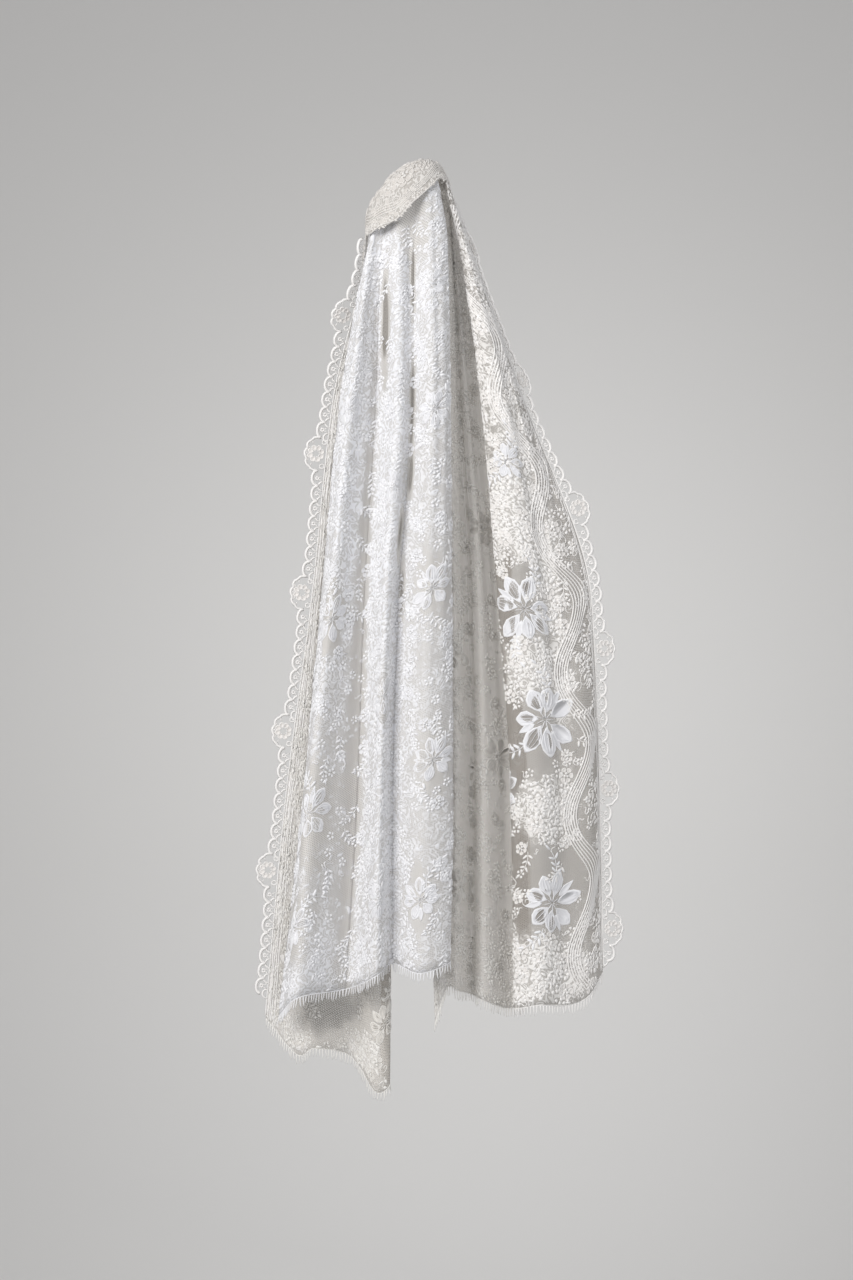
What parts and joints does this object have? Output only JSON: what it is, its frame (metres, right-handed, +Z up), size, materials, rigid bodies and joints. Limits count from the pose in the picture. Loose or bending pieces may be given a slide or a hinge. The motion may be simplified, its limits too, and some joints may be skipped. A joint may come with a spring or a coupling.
{
  "type": "lace veil on a wall peg",
  "caption": "Long lace veil draped at its middle over a round wall peg, hanging in soft folds with scalloped long edges and short eyelash fringe at its hems.",
  "frame": {"origin": "centre of the peg's plate, where it lies against the wall", "axes": "+Z up, +Y into the wall, so the veil's front faces -Y"},
  "size_m": [0.4832, 0.1126, 1.2354],
  "materials": {
    "white_lace": "fine net with white corded motifs",
    "cream_lace": "fine net with dense cream motifs",
    "shaded_lace": "fine net with white motifs, on the layers behind",
    "peg_paint": "matt grey paint"
  },
  "bodies": {
    "root": {"crown_drape": "cream_lace", "front_left_fall": "white_lace", "front_mid_fall": "white_lace", "front_right_fall": "white_lace", "back_left_fall": "shaded_lace", "back_centre_fall": "shaded_lace", "right_fall": "cream_lace", "left_scalloped_border": "cream_lace", "right_scalloped_border": "cream_lace", "fringe_front_left": "white_lace", "fringe_front_mid": "white_lace", "fringe_front_right": "white_lace", "fringe_back_left": "shaded_lace", "fringe_back_centre": "shaded_lace", "fringe_right": "cream_lace", "wall_peg": "peg_paint"}
  },
  "joints": []
}
